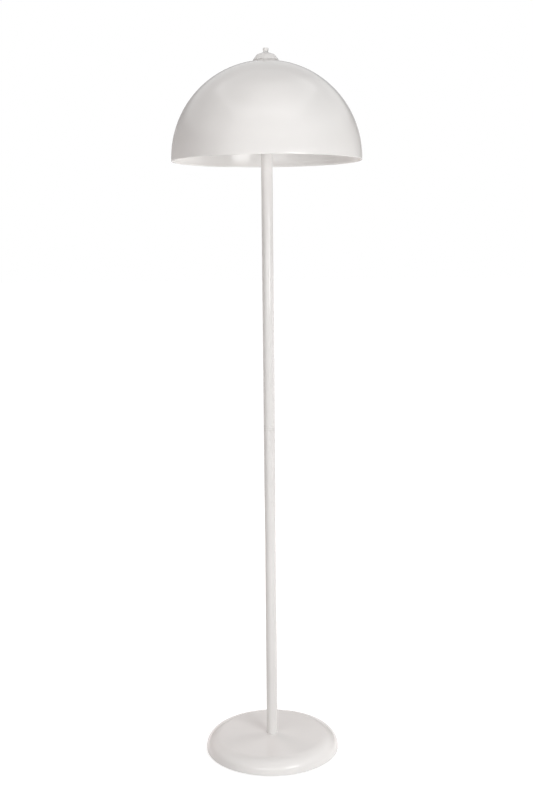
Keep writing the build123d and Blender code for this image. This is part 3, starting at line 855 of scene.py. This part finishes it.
def make_cap():
    """Bell-shaped cap over its ring; the washer and thumb nut on it are made in make_knob."""
    ring, cap = radius("cap_ring"), radius("shade_cap")
    seam, peak = top("cap_ring"), top("shade_cap")
    edge_angle = math.degrees(math.acos(ring / SHADE_RADIUS))
    land_angle = math.degrees(math.acos(LAND_RADIUS / SHADE_RADIUS))
    rings = [(RING_HOLE, seam), (RING_HOLE, LAND_Z)]
    rings += arc((0, DOME_Z), SHADE_RADIUS, land_angle, edge_angle, 8)
    rings += arc((ring - 0.5 * MM, seam - 0.5 * MM), 0.5 * MM, 0, 90, 6)
    turned("cap_base_ring", rings, DOME_SEGMENTS, "shade", "white_enamel", "cap_ring")

    skins = []
    for inset in (0, CAP_WALL):
        base = cap - inset
        shoulder = seam + CAP_SHOULDER_HEIGHT - inset
        waist = seam + CAP_WAIST_HEIGHT - inset / 2
        corners = eased(
            (CAP_TOP_RADIUS, peak - inset, 1.5 * MM),
            (base - CAP_SHOULDER_INSET, shoulder, CAP_SHOULDER_ROUNDING),
            (base - CAP_WAIST_INSET, waist, CAP_WAIST_ROUNDING),
            (base, seam + CAP_GAP + inset, 0.3 * MM if inset == 0 else 0),
            (STUD_RADIUS + HOLE_PLAY, seam, 0),
            (STUD_RADIUS + HOLE_PLAY, peak - inset, 0),
            steps=8,
        )
        skins.append([corners[-1]] + corners[:-2])
    foot = cap - CAP_FOOT_INSET
    underside = [(foot, seam + CAP_GAP), (foot, seam), (foot - CAP_WALL, seam)]
    underside += [(foot - CAP_WALL, seam + CAP_GAP + CAP_WALL)]
    rings = skins[0] + underside + skins[1][::-1]
    turned("bell_cap", rings, DOME_SEGMENTS, "shade", "white_enamel", "shade_cap")


def make_knob():
    """Thumb nut closed at the top, on its washer."""
    node = "finial_washer"
    outline = eased(
        (STUD_RADIUS + HOLE_PLAY, bottom(node), 0),
        (radius(node), bottom(node), EDGE),
        (radius(node), top(node), EDGE),
        (STUD_RADIUS + HOLE_PLAY, top(node), 0),
    )
    turned("knob_washer", outline, POLE_SEGMENTS, "finial_washer", "zinc_steel", node)
    node = "finial_knob"
    size, low, high = radius(node), bottom(node), top(node)
    foot = size - KNOB_FOOT_INSET
    bore = STUD_RADIUS + BORE_PLAY
    bore_top = top("shade_stem") + KNOB_CLEARANCE
    outline = eased(
        (bore, low, 0),
        (foot, low, 0.2 * MM),
        (foot, low + KNOB_FOOT_HEIGHT, 0.3 * MM),
        (size, low + KNOB_FOOT_HEIGHT + KNOB_FOOT_INSET, 0.4 * MM),
        (size, high, KNOB_ROUNDING),
        (0, high, 0),
        (0, bore_top, 0),
        (bore, bore_top, 0),
        steps=6,
    )
    turned("thumb_nut", outline, POLE_SEGMENTS, "finial_knob", "white_enamel", node)


# ---------------------------------------------------------------- base
PAD_SEGMENTS = 720
PAD_EDGE = 2.5 * MM
PAD_FUZZ = 0.25 * MM


def make_pad():
    """Felt disc under the base, with a slightly soft, uneven cut edge."""
    node = "base_pad"
    size, high = radius(node), top(node)
    flat = size - PAD_EDGE

    def edge(inset, height, lean):
        def ring(angle):
            wobble = math.sin(71 * angle) + math.sin(113 * angle + 1.3)
            wobble += math.sin(187 * angle + lean)
            return size - inset - PAD_FUZZ * (0.5 + wobble / 6), height

        return ring

    rings = [(0, 0), (size / 2, 0), (flat, 0)]
    rings += [edge(0.5 * MM, 0.15 * MM, 0.0), edge(0.0, 0.6 * MM, 0.7)]
    rings += [edge(0.0, 1.4 * MM, 1.9), edge(0.4 * MM, high - 0.1 * MM, 2.4)]
    rings += [(flat, high), (0, high)]
    turned("felt_pad", rings, PAD_SEGMENTS, "stand", "felt", node)


make_nuts()
make_pole()
make_stem()
make_seat()
make_lampholder_caps()
make_lampholder_bodies()
make_screw_shells()
make_bulb(1, "right")
make_bulb(-1, "left")
make_shade()
make_cap()
make_knob()
make_pad()


# ---------------------------------------------------------------- studio
# A pair of limits is the range of a direction, or of a distance, over which a tone changes.
ROOM_STRENGTH = 0.15
ROOM_COLOUR = (1.14, 1.0, 0.97, 1)
LEFT_WALL = 0.35
RIGHT_WALL = 0.12
SIDES = (-0.5, 0.5)
BEHIND = (0.92, 0.99)
ABOVE = (0.26, 0.44)
CEILING = (0.80, 0.90)
CEILING_TONE = 0.15

FLOOR_SIZE = 30.0
FLOOR_COLOUR = (0.60, 0.60, 0.60, 1)
FLOOR_RANGE = (0.4, 1.8)
FLOOR_LIFT = (0.63, 0.96)
MIRRORED_FLOOR_LIFT = 0.43


def area_light(name, place, target, size, power, colour=(1, 1, 1), mirrored=True):
    """A soft rectangular lamp; mirrored says whether reflections show it."""
    data = bpy.data.lights.new(name, "AREA")
    data.shape = "RECTANGLE"
    data.size, data.size_y = size
    data.energy = power
    data.color = colour
    light = bpy.data.objects.new(name, data)
    bpy.context.scene.collection.objects.link(light)
    light.location = place
    aim = Vector(target) - Vector(place)
    light.rotation_euler = aim.to_track_quat("-Z", "Y").to_euler()
    light.visible_camera = False
    light.visible_glossy = mirrored


def around(azimuth, distance, height):
    """A point at an angle to the right of the camera's side of the lamp."""
    angle = math.radians(azimuth)
    return (distance * math.sin(angle), -distance * math.cos(angle), height)


def make_lights():
    """Softbox front right, fill and a small light front left, overhead, two low ones behind.

    Those set aside from reflections light the enamel without showing in it.
    """
    pink, rosy = (1.04, 1.0, 0.985), (1.11, 1.0, 0.985)
    aside = {"mirrored": False}
    area_light("key", around(34.5, 2.1, 1.115), (0, 0, 1.115), (0.93, 0.63), 10.5)
    area_light("key_body", around(34.5, 2.1, 0.82), (0, 0, 0.82), (0.93, 1.25), 17.6, **aside)
    area_light("fill", around(-38, 2.2, 1.1), (0, 0, 1.0), (1.3, 0.9), 10.7, pink, **aside)
    area_light("front", around(-12, 2.4, 1.0), (0, 0, 1.0), (1.1, 0.6), 5.5)
    area_light("front_low", around(0, 2.6, 0.6), (0, 0, 0.6), (1.4, 0.9), 4, **aside)
    area_light("overhead", (0, -0.4, 3.0), (0, -0.2, 0), (2.6, 2.6), 18.8)
    area_light("rear_right", around(120, 2.3, 0.6), (0, 0, 0.9), (1.4, 0.9), 28, pink, **aside)
    area_light("rear_left", around(-140, 2.3, 0.6), (0, 0, 0.9), (1.4, 0.9), 32, rosy, **aside)


def make_world():
    """White to the camera; in reflections white behind and above, darker at the sides and
    straight up; to all other light a dim warm room."""
    world = bpy.data.worlds.new("studio")
    world.use_nodes = True
    bpy.context.scene.world = world
    tree = world.node_tree
    tree.nodes.clear()
    direction = tree.nodes.new("ShaderNodeSeparateXYZ")
    view = tree.nodes.new("ShaderNodeTexCoord").outputs["Generated"]
    tree.links.new(view, direction.inputs["Vector"])
    behind = span(tree, direction.outputs["Y"], *BEHIND)
    above = span(tree, direction.outputs["Z"], *ABOVE)
    ceiling = span(tree, direction.outputs["Z"], *CEILING, 1.0, CEILING_TONE)
    white = calc(tree, "MAXIMUM", behind, calc(tree, "MULTIPLY", above, ceiling))
    walls = span(tree, direction.outputs["X"], *SIDES, LEFT_WALL, RIGHT_WALL)
    white = calc(tree, "MAXIMUM", white, walls)
    white = calc(tree, "MAXIMUM", white, seen_by(tree, "Is Camera Ray", "Is Transmission Ray"))
    backdrop = tree.nodes.new("ShaderNodeBackground")
    backdrop.inputs["Color"].default_value = (1, 1, 1, 1)
    tree.links.new(white, backdrop.inputs["Strength"])
    room = tree.nodes.new("ShaderNodeBackground")
    room.inputs["Color"].default_value = ROOM_COLOUR
    room.inputs["Strength"].default_value = ROOM_STRENGTH
    mix = tree.nodes.new("ShaderNodeMixShader")
    seen = seen_by(tree, "Is Camera Ray", "Is Glossy Ray", "Is Transmission Ray")
    tree.links.new(seen, mix.inputs["Fac"])
    tree.links.new(room.outputs["Background"], mix.inputs[1])
    tree.links.new(backdrop.outputs["Background"], mix.inputs[2])
    output = tree.nodes.new("ShaderNodeOutputWorld")
    tree.links.new(mix.outputs["Shader"], output.inputs["Surface"])


def make_floor():
    """A pale floor: plain to the light, lifted to white where it is seen, shadow kept."""
    mesh = bpy.data.meshes.new("floor")
    far = FLOOR_SIZE
    corners = [(-far, -far, 0), (far, -far, 0), (far, far, 0), (-far, far, 0)]
    mesh.from_pydata(corners, [], [(0, 1, 2, 3)])
    floor = bpy.data.objects.new("floor", mesh)
    bpy.context.scene.collection.objects.link(floor)
    material = bpy.data.materials.new("floor")
    material.use_nodes = True
    tree = material.node_tree
    tree.nodes.clear()
    matt = tree.nodes.new("ShaderNodeBsdfDiffuse")
    matt.inputs["Color"].default_value = FLOOR_COLOUR
    distance = tree.nodes.new("ShaderNodeVectorMath")
    distance.operation = "LENGTH"
    place = tree.nodes.new("ShaderNodeTexCoord").outputs["Object"]
    tree.links.new(place, distance.inputs[0])
    rising = span(tree, distance.outputs["Value"], *FLOOR_RANGE, *FLOOR_LIFT)
    direct = seen_by(tree, "Is Camera Ray", "Is Transmission Ray")
    direct = calc(tree, "MULTIPLY", direct, rising)
    mirrored = calc(tree, "MULTIPLY", seen_by(tree, "Is Glossy Ray"), MIRRORED_FLOOR_LIFT)
    lift = tree.nodes.new("ShaderNodeEmission")
    tree.links.new(calc(tree, "ADD", direct, mirrored), lift.inputs["Strength"])
    add = tree.nodes.new("ShaderNodeAddShader")
    tree.links.new(matt.outputs["BSDF"], add.inputs[0])
    tree.links.new(lift.outputs["Emission"], add.inputs[1])
    output = tree.nodes.new("ShaderNodeOutputMaterial")
    tree.links.new(add.outputs["Shader"], output.inputs["Surface"])
    mesh.materials.append(material)


make_camera()
make_lights()
make_world()
make_floor()
bpy.context.scene.view_settings.view_transform = "Standard"
